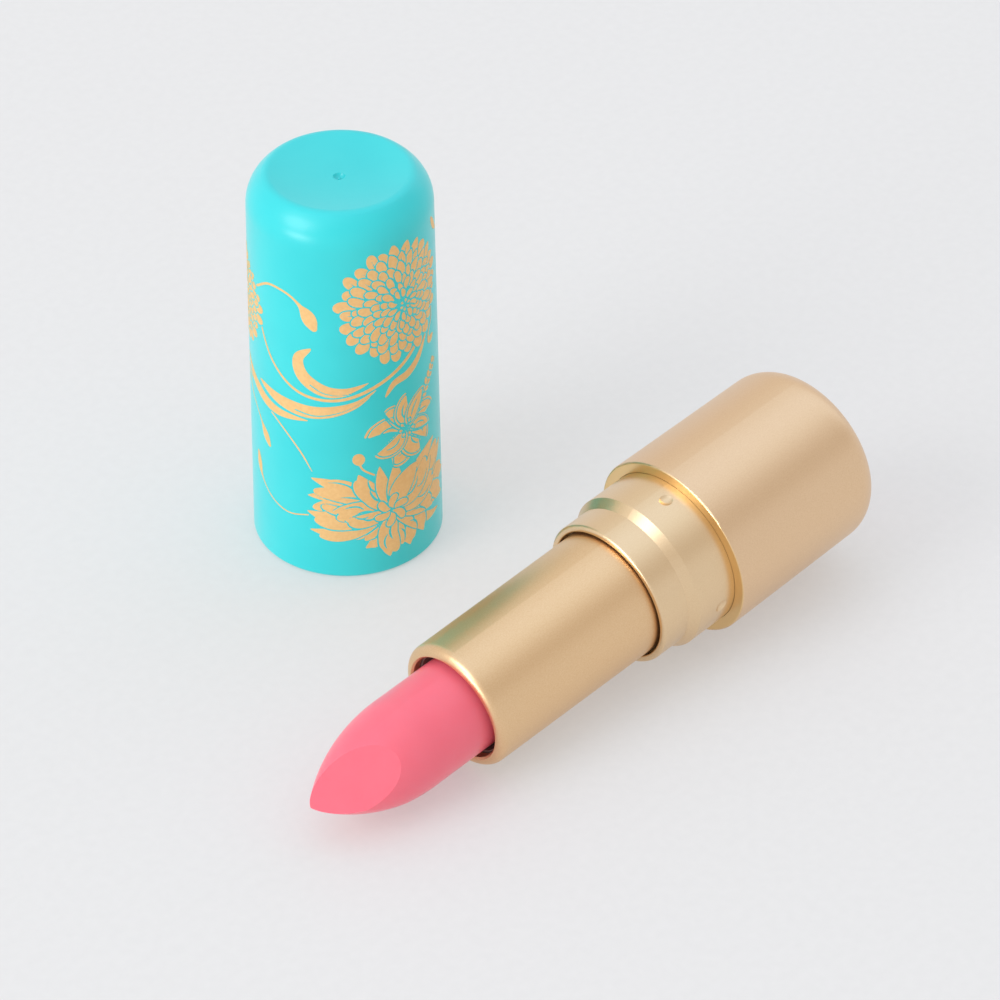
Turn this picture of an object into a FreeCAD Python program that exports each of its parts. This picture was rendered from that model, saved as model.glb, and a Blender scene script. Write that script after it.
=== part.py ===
import FreeCAD, Part
import math
import os

# Lipstick case in millimetres, drawn as it is used: the cap stands on its open rim with the
# origin at the rim's centre, and the wound-out case lies beside it along X, tip towards -X.
#
# Every case piece is drawn upright first, on the Z axis, with z = 0 at the closed end of the
# base and the bullet at the top. lay_down() then tips it over onto the floor.

# ---------------------------------------------------------------- base
BASE_LENGTH = 25.3
BASE_MOUTH_R = 11.83
BASE_END_R = 11.68
BASE_BORE_R = 10.42
BASE_END_ROUND = 3.97
BASE_MOUTH_ROUND = 0.24
BASE_FLOOR = 1.4
LABEL_RECESS_R = 6.8
LABEL_RECESS = 0.2
LABEL_R = 6.7
LABEL_THICKNESS = 0.15

# ---------------------------------------------------------------- plastic cores and plug
CORE_GAP = 0.02
CORE_TOP = 22.0
CORE_WEB_LOW = 6.6
CORE_WEB_HIGH = 8.0
CORE_CAVITY_R = 8.75
PLUG_R = 8.5
SLEEVE_CORE_FOOT = 14.0
SLEEVE_CORE_FLANGE = 0.6
SLEEVE_CORE_TOP = 35.2
LOWER_BORE_R = 7.0
KEEPER_TOP = 26.3

# ---------------------------------------------------------------- collar
COLLAR_REAR_R = 10.38
COLLAR_FRONT_R = 9.54
COLLAR_WALL = 0.5
COLLAR_STEP_LOW = 31.26
COLLAR_STEP_HIGH = 32.40
COLLAR_TOP = 36.5
COLLAR_LIP_ROUND = 0.45
COLLAR_LIP_BORE_R = 8.66
DIMPLE_COUNT = 4
DIMPLE_Z = 27.57
DIMPLE_R = 0.85
DIMPLE_DEPTH = 0.28
DIMPLE_START_DEG = -10.0

# ---------------------------------------------------------------- turning tube
TUBE_TOP = 62.2
TUBE_LIP_R = 8.24
TUBE_FOOT_R = 8.36
TUBE_TAPER_LOW = 36.0
TUBE_BORE_R = 7.88
TUBE_LIP_ROUND = 1.16
TUBE_LIP_BORE_R = 6.85
TUBE_LIP_THICKNESS = 1.2
CAM_R = 7.86
CAM_BORE_R = 7.10
CAM_FOOT = 25.2
CAM_FLANGE_R = 8.8
CAM_FLANGE = 1.0
GROOVE_R = 7.52

# ---------------------------------------------------------------- lift mechanism
FORK_R = 7.03
FORK_BORE_R = 6.65
FORK_FOOT = 22.6
FORK_FLANGE_R = 8.0
FORK_FLANGE_TOP = 24.0
FORK_TOP = 60.8
SLOT_FOOT = 27.6
LUG_R = 0.95
LUG_REACH = 7.42
LUG_SLACK = 0.06
CUP_R = 6.55
CUP_BORE_R = 6.07
CUP_FLOOR = 0.8
CUP_FOOT = 50.7
CUP_TOP = 59.0
LUG_Z = 52.3
TRAVEL = 23.4
LEAD = 18.72
RING_MEAN_R = 7.62
RING_CORD_R = 0.5
RING_Z = 24.56

# ---------------------------------------------------------------- bullet
BULLET_R = 6.05
BULLET_SHOULDER = 69.94
BULLET_NOSE_ARC = 22.32
TIP_R = 8.12
TIP_SHOULDER = 69.62
TIP_ARC = 20.46
TIP_OFFSET = 2.05
TIP_AZIMUTH_DEG = 30.5
FACET_AXIS_Z = 82.28
FACET_ANGLE_DEG = 35.14
FACET_AZIMUTH_DEG = -44.6

# ---------------------------------------------------------------- cap
CAP_RIM_R = 11.89
CAP_DRAFT = 0.013
CAP_WALL = 0.93
CAP_ROOF = 1.6
CAP_SHOULDER_Z = 48.26
CAP_SHOULDER = 5.17
CAP_SHOULDER_DEG = 52.0
CAP_CREST = 1.25
CAP_DISH_DEG = 10.75
CAP_RIM_ROUND = 0.6
GATE_R = 0.75
GATE_DEPTH = 0.5
GATE_NIB_R = 0.16
GATE_NIB_HEIGHT = 0.2
GRIP_FOOT = 0.8
GRIP_TOP = 15.0
GRIP_GAP = 0.02
GRIP_MOUTH_R = 10.46
GRIP_STEP_LOW = 6.2
GRIP_STEP_HIGH = 7.3
GRIP_BORE_R = 9.58
GRIP_RIB_END = 11.6
GRIP_RELIEF_R = 9.9

# ---------------------------------------------------------------- place of the lying case
MOUTH_X = 14.36
MOUTH_Y = -42.48

UP = FreeCAD.Vector(0, 0, 1)
ACROSS = FreeCAD.Vector(0, 1, 0)
OVERSHOOT = 1.0


def resting_tilt():
    """Tilt at which the base's mouth edge and the tube's rolled lip both touch the floor."""
    along = (TUBE_TOP - TUBE_LIP_ROUND) - (BASE_LENGTH - BASE_MOUTH_ROUND)
    inward = (BASE_MOUTH_R - BASE_MOUTH_ROUND) - (TUBE_LIP_R - TUBE_LIP_ROUND)
    extra = TUBE_LIP_ROUND - BASE_MOUTH_ROUND
    return math.atan2(inward, along) - math.asin(extra / math.hypot(along, inward))


TILT = resting_tilt()
END_HEIGHT = (
    math.sin(TILT) * (BASE_LENGTH - BASE_MOUTH_ROUND)
    + math.cos(TILT) * (BASE_MOUTH_R - BASE_MOUTH_ROUND)
    + BASE_MOUTH_ROUND
)


def lay_down(shape):
    """Tip an upright case piece over, bullet towards -X, and set it on the floor."""
    end_x = MOUTH_X + BASE_LENGTH * math.cos(TILT)
    turn = FreeCAD.Rotation(ACROSS, -(90 + math.degrees(TILT)))
    laid = shape.copy()
    laid.Placement = FreeCAD.Placement(FreeCAD.Vector(end_x, MOUTH_Y, END_HEIGHT), turn)
    return laid


def point(r, z):
    return FreeCAD.Vector(r, 0, z)


def revolve(*steps):
    """Revolve a closed outline of (r, z) points; a step of two points is an arc through both."""
    edges = []
    here = point(*steps[0])
    for step in steps[1:] + (steps[0],):
        if isinstance(step[0], tuple):
            middle, end = point(*step[0]), point(*step[1])
            edges.append(Part.Arc(here, middle, end).toShape())
        else:
            end = point(*step)
            edges.append(Part.makeLine(here, end))
        here = end
    return Part.Face(Part.Wire(edges)).revolve(FreeCAD.Vector(), UP, 360)


def corner(r, z, radius, from_deg, to_deg):
    """Arc step around the centre (r, z), from one angle to the other, measured from +r."""
    middle = math.radians((from_deg + to_deg) / 2)
    last = math.radians(to_deg)
    return (
        (r + radius * math.cos(middle), z + radius * math.sin(middle)),
        (r + radius * math.cos(last), z + radius * math.sin(last)),
    )


def tube(outer, inner, foot, top):
    """Plain upright tube between two heights."""
    return revolve((inner, foot), (outer, foot), (outer, top), (inner, top))


def disc(radius, foot, top):
    """Plain upright disc between two heights."""
    return Part.makeCylinder(radius, top - foot, point(0, foot), UP)


def base_shell():
    """Thick aluminium cup with a large end round and a bright flat mouth face."""
    rim_r = BASE_MOUTH_R - BASE_MOUTH_ROUND
    rim_z = BASE_LENGTH - BASE_MOUTH_ROUND
    flat_r = BASE_END_R - BASE_END_ROUND
    return revolve(
        (0, LABEL_RECESS),
        (LABEL_RECESS_R, LABEL_RECESS),
        (LABEL_RECESS_R, 0),
        (flat_r, 0),
        corner(flat_r, BASE_END_ROUND, BASE_END_ROUND, -90, 0),
        (BASE_MOUTH_R, rim_z),
        corner(rim_r, rim_z, BASE_MOUTH_ROUND, 0, 90),
        (BASE_BORE_R, BASE_LENGTH),
        (BASE_BORE_R, BASE_FLOOR),
        (0, BASE_FLOOR),
    )


def base_label():
    """Round shade sticker, sunk in the recess of the closed end."""
    return disc(LABEL_R, LABEL_RECESS - LABEL_THICKNESS, LABEL_RECESS)


def base_plug():
    """Light plastic plug in the core's pocket; a heavy one would tip the lying case back."""
    return disc(PLUG_R, BASE_FLOOR, CORE_WEB_LOW)


def base_core():
    """Plastic cup pressed into the base, which takes the collar's core."""
    outer = BASE_BORE_R - CORE_GAP
    body = tube(outer, PLUG_R + CORE_GAP, BASE_FLOOR, CORE_WEB_LOW)
    web = disc(outer, CORE_WEB_LOW, CORE_WEB_HIGH)
    return body.fuse([web, tube(outer, CORE_CAVITY_R, CORE_WEB_HIGH, CORE_TOP)]).removeSplitter()


def collar_core():
    """Plastic sleeve that joins the collar to the base and keeps the turning cam in."""
    flange_top = CORE_TOP + SLEEVE_CORE_FLANGE
    rear_r = COLLAR_REAR_R - COLLAR_WALL - CORE_GAP
    front_r = COLLAR_FRONT_R - COLLAR_WALL - CORE_GAP
    socket_r = FORK_FLANGE_R + CORE_GAP
    keeper_r = CAM_FLANGE_R + LUG_SLACK
    running_r = TUBE_FOOT_R + LUG_SLACK
    return revolve(
        (LOWER_BORE_R, SLEEVE_CORE_FOOT),
        (CORE_CAVITY_R - CORE_GAP, SLEEVE_CORE_FOOT),
        (CORE_CAVITY_R - CORE_GAP, CORE_TOP),
        (COLLAR_REAR_R - CORE_GAP, CORE_TOP),
        (COLLAR_REAR_R - CORE_GAP, flange_top),
        (rear_r, flange_top),
        (rear_r, COLLAR_STEP_LOW - COLLAR_WALL),
        (front_r, COLLAR_STEP_HIGH - COLLAR_WALL),
        (front_r, SLEEVE_CORE_TOP),
        (running_r, SLEEVE_CORE_TOP),
        (running_r, KEEPER_TOP),
        (keeper_r, KEEPER_TOP),
        (keeper_r, FORK_FLANGE_TOP),
        (socket_r, FORK_FLANGE_TOP),
        (socket_r, FORK_FOOT),
        (LOWER_BORE_R, FORK_FOOT),
    )


def collar_sleeve():
    """Drawn aluminium collar: stepped, lip turned in, four crimp dimples near the base."""
    foot = CORE_TOP + SLEEVE_CORE_FLANGE
    lip_r = COLLAR_FRONT_R - COLLAR_LIP_ROUND
    lip_z = COLLAR_TOP - COLLAR_LIP_ROUND
    lip_edge = COLLAR_WALL / 2
    sleeve = revolve(
        (COLLAR_REAR_R - COLLAR_WALL, foot),
        (COLLAR_REAR_R, foot),
        (COLLAR_REAR_R, COLLAR_STEP_LOW),
        (COLLAR_FRONT_R, COLLAR_STEP_HIGH),
        (COLLAR_FRONT_R, lip_z),
        corner(lip_r, lip_z, COLLAR_LIP_ROUND, 0, 90),
        (COLLAR_LIP_BORE_R + lip_edge, COLLAR_TOP),
        corner(COLLAR_LIP_BORE_R + lip_edge, COLLAR_TOP - lip_edge, lip_edge, 90, 270),
        (COLLAR_FRONT_R - COLLAR_WALL, COLLAR_TOP - COLLAR_WALL),
        (COLLAR_FRONT_R - COLLAR_WALL, COLLAR_STEP_HIGH - COLLAR_WALL / 2),
        (COLLAR_REAR_R - COLLAR_WALL, COLLAR_STEP_LOW - COLLAR_WALL / 2),
    )
    ball_r = (DIMPLE_R ** 2 + DIMPLE_DEPTH ** 2) / (2 * DIMPLE_DEPTH)
    ball_x = COLLAR_REAR_R - DIMPLE_DEPTH + ball_r
    balls = []
    for index in range(DIMPLE_COUNT):
        ball = Part.makeSphere(ball_r, point(ball_x, DIMPLE_Z))
        ball.rotate(FreeCAD.Vector(), UP, DIMPLE_START_DEG + index * 360 / DIMPLE_COUNT)
        balls.append(ball)
    return sleeve.cut(balls)


def tube_shell():
    """Slim turning tube with a slight taper and a fat lip rolled inwards."""
    lip_z = TUBE_TOP - TUBE_LIP_ROUND
    lip_edge = TUBE_LIP_ROUND - (TUBE_LIP_R - TUBE_LIP_BORE_R - TUBE_LIP_ROUND)
    return revolve(
        (TUBE_BORE_R, CAM_FOOT + CAM_FLANGE),
        (TUBE_FOOT_R, CAM_FOOT + CAM_FLANGE),
        (TUBE_FOOT_R, TUBE_TAPER_LOW),
        (TUBE_LIP_R, lip_z),
        corner(TUBE_LIP_R - TUBE_LIP_ROUND, lip_z, TUBE_LIP_ROUND, 0, 90),
        (TUBE_LIP_BORE_R, TUBE_TOP - lip_edge / 4),
        (TUBE_LIP_BORE_R, TUBE_TOP - TUBE_LIP_THICKNESS),
        (TUBE_BORE_R, TUBE_TOP - TUBE_LIP_THICKNESS),
    )


def helical_groove():
    """Cutter for one left-handed groove that carries a lug over the whole travel."""
    run_out = 0.6
    mean_r = (CAM_BORE_R + GROOVE_R) / 2
    slope = math.atan2(LEAD, 2 * math.pi * mean_r)
    half_height = (LUG_R + LUG_SLACK) / math.cos(slope)
    inner_r = CAM_BORE_R - LUG_SLACK
    start_z = LUG_Z - TRAVEL - run_out
    height = TRAVEL + 2 * run_out
    path = Part.makeHelix(LEAD, height, mean_r, 0, True)
    corners = [
        point(inner_r, -half_height),
        point(GROOVE_R, -half_height),
        point(GROOVE_R, half_height),
        point(inner_r, half_height),
        point(inner_r, -half_height),
    ]
    cutter = Part.Wire(path.Edges).makePipeShell([Part.makePolygon(corners)], True, True)
    cutter.rotate(FreeCAD.Vector(), UP, 360 * (TRAVEL + run_out) / LEAD)
    cutter.translate(point(0, start_z))
    return cutter


def cam_tube():
    """Spiral sleeve: its two inner helical grooves drive the cup's lugs up and down."""
    body = tube(CAM_R, CAM_BORE_R, CAM_FOOT, FORK_TOP + LUG_SLACK)
    body = body.fuse(tube(CAM_FLANGE_R, CAM_BORE_R, CAM_FOOT, CAM_FOOT + CAM_FLANGE))
    groove = helical_groove()
    opposite = groove.copy()
    opposite.rotate(FreeCAD.Vector(), UP, 180)
    return body.removeSplitter().cut([groove, opposite])


def inner_fork():
    """Two-pronged inner tube, pressed into the core, that stops the cup from turning."""
    body = tube(FORK_R, FORK_BORE_R, FORK_FOOT, FORK_TOP)
    body = body.fuse(tube(FORK_FLANGE_R, FORK_BORE_R, FORK_FOOT, FORK_FLANGE_TOP))
    half = LUG_R + LUG_SLACK
    reach = FORK_R + OVERSHOOT
    height = FORK_TOP + OVERSHOOT - SLOT_FOOT
    corner_point = FreeCAD.Vector(-reach, -half, SLOT_FOOT)
    slot = Part.makeBox(2 * reach, 2 * half, height, corner_point)
    return body.removeSplitter().cut(slot)


def carrier_cup():
    """Cup that holds the bullet, with two lugs through the fork into the cam's grooves."""
    cup = revolve(
        (0, CUP_FOOT),
        (CUP_R, CUP_FOOT),
        (CUP_R, CUP_TOP),
        (CUP_BORE_R, CUP_TOP),
        (CUP_BORE_R, CUP_FOOT + CUP_FLOOR),
        (0, CUP_FOOT + CUP_FLOOR),
    )
    lugs = []
    for sign in (1, -1):
        start = FreeCAD.Vector(sign * (CUP_BORE_R + CUP_R) / 2, 0, LUG_Z)
        reach = LUG_REACH - (CUP_BORE_R + CUP_R) / 2
        lugs.append(Part.makeCylinder(LUG_R, reach, start, FreeCAD.Vector(sign, 0, 0)))
    return cup.fuse(lugs).removeSplitter()


def friction_ring():
    """Rubber ring under the cam that gives the turn its smooth drag."""
    return Part.makeTorus(RING_MEAN_R, RING_CORD_R, point(0, RING_Z), UP)


def ogive(radius, shoulder, arc):
    """Round bar with a pointed nose whose side is one arc, tangent to the bar."""
    nose_length = math.sqrt(2 * arc * radius - radius ** 2)
    half_turn = math.degrees(math.asin(nose_length / arc))
    return revolve(
        (0, CUP_FOOT + CUP_FLOOR),
        (radius, CUP_FOOT + CUP_FLOOR),
        (radius, shoulder),
        corner(radius - arc, shoulder, arc, 0, half_turn),
    )


def bullet():
    """Moulded colour stick: its tip is off centre, and one slanted facet meets it in a point."""
    tip = ogive(TIP_R, TIP_SHOULDER, TIP_ARC)
    tip.translate(FreeCAD.Vector(TIP_OFFSET, 0, 0))
    tip.rotate(FreeCAD.Vector(), UP, TIP_AZIMUTH_DEG)
    stick = ogive(BULLET_R, BULLET_SHOULDER, BULLET_NOSE_ARC).common(tip)
    size = 6 * BULLET_R
    cutter = Part.makeBox(size, size, size, FreeCAD.Vector(0, -size / 2, -size / 2))
    cutter.rotate(FreeCAD.Vector(), ACROSS, -FACET_ANGLE_DEG)
    cutter.rotate(FreeCAD.Vector(), UP, FACET_AZIMUTH_DEG)
    cutter.translate(point(0, FACET_AXIS_Z))
    return stick.cut(cutter)


def cap_radius(z):
    """Outer radius of the cap's drafted side wall."""
    return CAP_RIM_R - CAP_DRAFT * z


def cap_shell():
    """Moulded cap: wide shoulder, narrow crest, shallow dished top and a gate mark in it."""
    side_r = cap_radius(CAP_SHOULDER_Z)
    rim_r = CAP_RIM_R - CAP_RIM_ROUND
    shoulder_r = side_r - CAP_SHOULDER
    inset = CAP_SHOULDER - CAP_CREST
    crest_r = shoulder_r + inset * math.cos(math.radians(CAP_SHOULDER_DEG))
    crest_z = CAP_SHOULDER_Z + inset * math.sin(math.radians(CAP_SHOULDER_DEG))
    dish_angle = math.radians(CAP_DISH_DEG)
    dish_round = crest_r / math.sin(dish_angle) - CAP_CREST
    dish_z = crest_z + (dish_round + CAP_CREST) * math.cos(dish_angle)
    dish_floor = dish_z - dish_round
    roof_z = dish_floor - CAP_ROOF
    inner_round = CAP_SHOULDER - CAP_WALL
    inner_z = roof_z - inner_round
    inner_top_r = cap_radius(inner_z) - CAP_WALL
    shell = revolve(
        (CAP_RIM_R - CAP_WALL, 0),
        (rim_r, 0),
        corner(rim_r, CAP_RIM_ROUND, CAP_RIM_ROUND, -90, 0),
        (side_r, CAP_SHOULDER_Z),
        corner(shoulder_r, CAP_SHOULDER_Z, CAP_SHOULDER, 0, CAP_SHOULDER_DEG),
        corner(crest_r, crest_z, CAP_CREST, CAP_SHOULDER_DEG, 90 + CAP_DISH_DEG),
        corner(0, dish_z, dish_round, CAP_DISH_DEG - 90, -90),
        (0, roof_z),
        (inner_top_r - inner_round, roof_z),
        corner(inner_top_r - inner_round, inner_z, inner_round, 90, 0),
    )
    ball_r = (GATE_R ** 2 + GATE_DEPTH ** 2) / (2 * GATE_DEPTH)
    gate = Part.makeSphere(ball_r, point(0, dish_floor - GATE_DEPTH + ball_r))
    nib_foot = dish_floor - GATE_DEPTH - GATE_NIB_HEIGHT
    nib = disc(GATE_NIB_R, nib_foot, nib_foot + 2 * GATE_NIB_HEIGHT)
    return shell.cut(gate).fuse(nib).removeSplitter()


def cap_grip():
    """Inner sleeve that slides over the collar and holds the closed cap by friction."""
    foot_r = cap_radius(GRIP_FOOT) - CAP_WALL - GRIP_GAP
    top_r = cap_radius(GRIP_TOP) - CAP_WALL - GRIP_GAP
    relief_z = GRIP_RIB_END + GRIP_RELIEF_R - GRIP_BORE_R
    return revolve(
        (GRIP_MOUTH_R, GRIP_FOOT),
        (foot_r, GRIP_FOOT),
        (top_r, GRIP_TOP),
        (GRIP_RELIEF_R, GRIP_TOP),
        (GRIP_RELIEF_R, relief_z),
        (GRIP_BORE_R, GRIP_RIB_END),
        (GRIP_BORE_R, GRIP_STEP_HIGH),
        (GRIP_MOUTH_R, GRIP_STEP_LOW),
    )


CASE_PIECES = {
    "base_shell": base_shell,
    "base_label": base_label,
    "base_plug": base_plug,
    "base_core": base_core,
    "collar_core": collar_core,
    "collar_sleeve": collar_sleeve,
    "inner_fork": inner_fork,
    "friction_ring": friction_ring,
    "cam_tube": cam_tube,
    "tube_shell": tube_shell,
    "carrier_cup": carrier_cup,
    "bullet": bullet,
}
CAP_PIECES = {
    "cap_shell": cap_shell,
    "cap_grip": cap_grip,
}

os.makedirs("parts", exist_ok=True)
for node, make in CASE_PIECES.items():
    lay_down(make()).exportStep(f"parts/{node}.step")
for node, make in CAP_PIECES.items():
    make().exportStep(f"parts/{node}.step")
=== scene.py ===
import logging
import math
from collections.abc import Sequence
from dataclasses import dataclass, field
from enum import Enum

import bpy
import numpy as np
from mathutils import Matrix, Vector


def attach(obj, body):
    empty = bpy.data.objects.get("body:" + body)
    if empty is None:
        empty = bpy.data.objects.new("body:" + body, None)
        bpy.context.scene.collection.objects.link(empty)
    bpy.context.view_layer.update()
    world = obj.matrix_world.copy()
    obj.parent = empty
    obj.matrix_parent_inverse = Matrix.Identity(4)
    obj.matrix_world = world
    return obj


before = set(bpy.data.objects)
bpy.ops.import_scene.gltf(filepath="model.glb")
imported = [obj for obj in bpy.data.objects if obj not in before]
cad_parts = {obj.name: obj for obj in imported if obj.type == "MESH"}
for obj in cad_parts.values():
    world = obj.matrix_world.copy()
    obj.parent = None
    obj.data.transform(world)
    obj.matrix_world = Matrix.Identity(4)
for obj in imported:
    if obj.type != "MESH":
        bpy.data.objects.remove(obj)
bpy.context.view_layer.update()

LOG = logging.getLogger("lipstick_case")
MM = 0.001
Rgba = tuple[float, float, float, float]
Point = tuple[float, float]
Socket = bpy.types.NodeSocket
Tree = bpy.types.NodeTree

# The lying case: centre of its closed end, and the direction from there to the colour stick.
END_CENTRE = Vector((39.535, -42.48, 14.258)) * MM
CASE_AXIS = Vector((-0.99507151, 0.0, -0.09915988))


def rgb(code: str) -> Rgba:
    """Turn an sRGB hex colour into linear RGBA.

    Args:
        code: Six hex digits, such as "e2c09a".

    Returns:
        The colour as Blender's sockets take it.
    """
    parts = [int(code[i:i + 2], 16) / 255 for i in (0, 2, 4)]
    linear = [c / 12.92 if c <= 0.04045 else ((c + 0.055) / 1.055) ** 2.4 for c in parts]
    return (*linear, 1.0)


def add(tree: Tree, kind: str, inputs: dict | None = None, stops: Sequence[tuple[float, Rgba]] = (),
        **settings: object) -> bpy.types.Node:
    """Add a node with its settings, and set or link its inputs.

    Args:
        tree: The node tree that gets the node.
        kind: Blender's name of the node's type.
        inputs: Socket name or number to a value, to the output socket that feeds it, or to a
            node whose first output feeds it.
        stops: Position and colour of each stop of a colour ramp, in order.
        **settings: Properties of the node itself.

    Returns:
        The new node.
    """
    node = tree.nodes.new(kind)
    for name, value in settings.items():
        setattr(node, name, value)
    for name, value in (inputs or {}).items():
        source = value.outputs[0] if isinstance(value, bpy.types.Node) else value
        if isinstance(source, Socket):
            tree.links.new(source, node.inputs[name])
        else:
            node.inputs[name].default_value = source
    if stops:
        band = node.color_ramp.elements
        while len(band) < len(stops):
            band.new(0.5)
        for element, (position, colour) in zip(band, stops):
            element.position, element.color = position, colour
    return node


def place(tree: Tree) -> Socket:
    """The point's place in the row frame, in metres."""
    return add(tree, "ShaderNodeTexCoord").outputs["Object"]


def drift(tree: Tree, width: float, dark: str, light: str, reach: tuple[float, float] = (0.3, 0.7),
          detail: float = 2.0) -> Socket:
    """Colour that wanders between two tones in soft patches.

    Args:
        tree: The material's node tree.
        width: Width of a patch in millimetres.
        dark: The darker tone, as sRGB hex.
        light: The lighter tone, as sRGB hex.
        reach: Height of the pattern at which each tone is full.
        detail: How finely the patches' borders break up.

    Returns:
        The colour.
    """
    patches = add(tree, "ShaderNodeTexNoise", {
        "Vector": place(tree), "Scale": 1 / (width * MM), "Detail": detail})
    tones = [(reach[0], rgb(dark)), (reach[1], rgb(light))]
    return add(tree, "ShaderNodeValToRGB", {"Fac": patches.outputs["Fac"]}, tones).outputs["Color"]


def skin(tree: Tree, width: float, depth: float, detail: float = 2.0,
         strength: Socket | float = 1.0) -> Socket:
    """Normal of a surface with fine random bumps.

    Args:
        tree: The material's node tree.
        width: Width of a bump in millimetres.
        depth: Depth of the bumps in millimetres.
        detail: How finely they break up.
        strength: Share of them that shows.

    Returns:
        The normal.
    """
    bumps = add(tree, "ShaderNodeTexNoise", {
        "Vector": place(tree), "Scale": 1 / (width * MM), "Detail": detail})
    return add(tree, "ShaderNodeBump", {
        "Strength": strength, "Height": bumps.outputs["Fac"], "Distance": depth * MM}).outputs["Normal"]


def case_station(tree: Tree) -> tuple[Socket, Socket]:
    """Place along the lying case's axis and distance from that axis, both in millimetres.

    Args:
        tree: The node tree.

    Returns:
        The distance from the closed end along the axis, and the radius.
    """
    local = add(tree, "ShaderNodeVectorMath", {0: place(tree), 1: END_CENTRE}, operation="SUBTRACT")
    forward = add(tree, "ShaderNodeVectorMath", {0: local, 1: CASE_AXIS}, operation="DOT_PRODUCT")
    across = add(tree, "ShaderNodeVectorMath", {0: local, 1: CASE_AXIS}, operation="CROSS_PRODUCT")
    away = add(tree, "ShaderNodeVectorMath", {0: across}, operation="LENGTH")
    along, radius = (
        add(tree, "ShaderNodeMath", {0: metres.outputs["Value"], 1: 1 / MM}, operation="MULTIPLY")
        for metres in (forward, away))
    return along.outputs[0], radius.outputs[0]


class Finish:
    """A surface finish that makes one procedural material."""

    name = "finish"

    def surface(self, tree: Tree) -> dict:
        """Build the patterns.

        Args:
            tree: The material's node tree.

        Returns:
            Values and sockets for the Principled shader's inputs.
        """
        raise NotImplementedError

    def material(self) -> bpy.types.Material:
        """Make the finish's material, or find it if it is already made.

        Returns:
            The material.
        """
        made = bpy.data.materials.get(self.name)
        if made:
            return made
        made = bpy.data.materials.new(self.name)
        made.use_nodes = True
        tree = made.node_tree
        tree.nodes.clear()
        shader = add(tree, "ShaderNodeBsdfPrincipled", self.surface(tree))
        add(tree, "ShaderNodeOutputMaterial", {"Surface": shader.outputs["BSDF"]})
        return made


@dataclass(frozen=True)
class SatinCapCoating(Finish):
    """Polypropylene cap, moulded in turquoise with a soft satin skin.

    The eye gets a milky body colour, a wide soft sheen and a very faint orange-peel ripple.
    """

    name: str = "satin_moulded_polypropylene"
    pale: str = "36d4d7"
    deep: str = "30d0d4"
    mottle: float = 9.0
    ripple: float = 0.7
    ripple_depth: float = 0.006

    def surface(self, tree: Tree) -> dict:
        """Milky colour with a slow mottle and a shallow ripple.

        Args:
            tree: The material's node tree.

        Returns:
            Values and sockets for the Principled shader's inputs.
        """
        return {"Base Color": drift(tree, self.mottle, self.deep, self.pale, (0.35, 0.65)),
                "Roughness": 0.3, "Normal": skin(tree, self.ripple, self.ripple_depth, 3.0),
                "Subsurface Weight": 0.15, "Subsurface Radius": (1.0, 1.4, 1.4),
                "Subsurface Scale": 0.6 * MM, "IOR": 1.49,
                "Sheen Weight": 0.12, "Sheen Roughness": 0.4}


@dataclass(frozen=True)
class StampedFoil(Finish):
    """Matt gold foil, hot-stamped on the cap.

    The eye gets a flat pale gold without a mirror, a little uneven where the stamp pressed. The
    lacquer over the foil is dull, so it is only partly metallic.
    """

    name: str = "hot_stamped_gold_foil"
    light: str = "f4c988"
    dark: str = "edbf7d"
    marks: float = 0.5
    tooth: float = 0.18
    tooth_depth: float = 0.003

    def surface(self, tree: Tree) -> dict:
        """Even gold with fine pressing marks.

        Args:
            tree: The material's node tree.

        Returns:
            Values and sockets for the Principled shader's inputs.
        """
        return {"Base Color": drift(tree, self.marks, self.dark, self.light, detail=4.0),
                "Metallic": 0.3, "Roughness": 0.5,
                "Normal": skin(tree, self.tooth, self.tooth_depth)}


@dataclass(frozen=True)
class SatinGold(Finish):
    """Bead-blasted aluminium, anodised champagne gold.

    The eye gets wide soft reflections and a fine frosty grain. Blasting beads leave pits of about
    0.05 mm, too fine to show, so the grain is drawn about three times as coarse.
    """

    name: str = "satin_anodised_aluminium"
    light: str = "ebcba6"
    dark: str = "e4c29b"
    roughness: float = 0.34
    grit: float = 0.16
    depth: float = 0.0022

    def surface(self, tree: Tree) -> dict:
        """Frosted metal: the blasting shows in its colour and its normal.

        Args:
            tree: The material's node tree.

        Returns:
            Values and sockets for the Principled shader's inputs.
        """
        return {"Base Color": drift(tree, self.grit, self.dark, self.light, detail=3.0),
                "Metallic": 1.0, "Roughness": self.roughness,
                "Normal": skin(tree, self.grit, self.depth, 3.0)}


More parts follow.
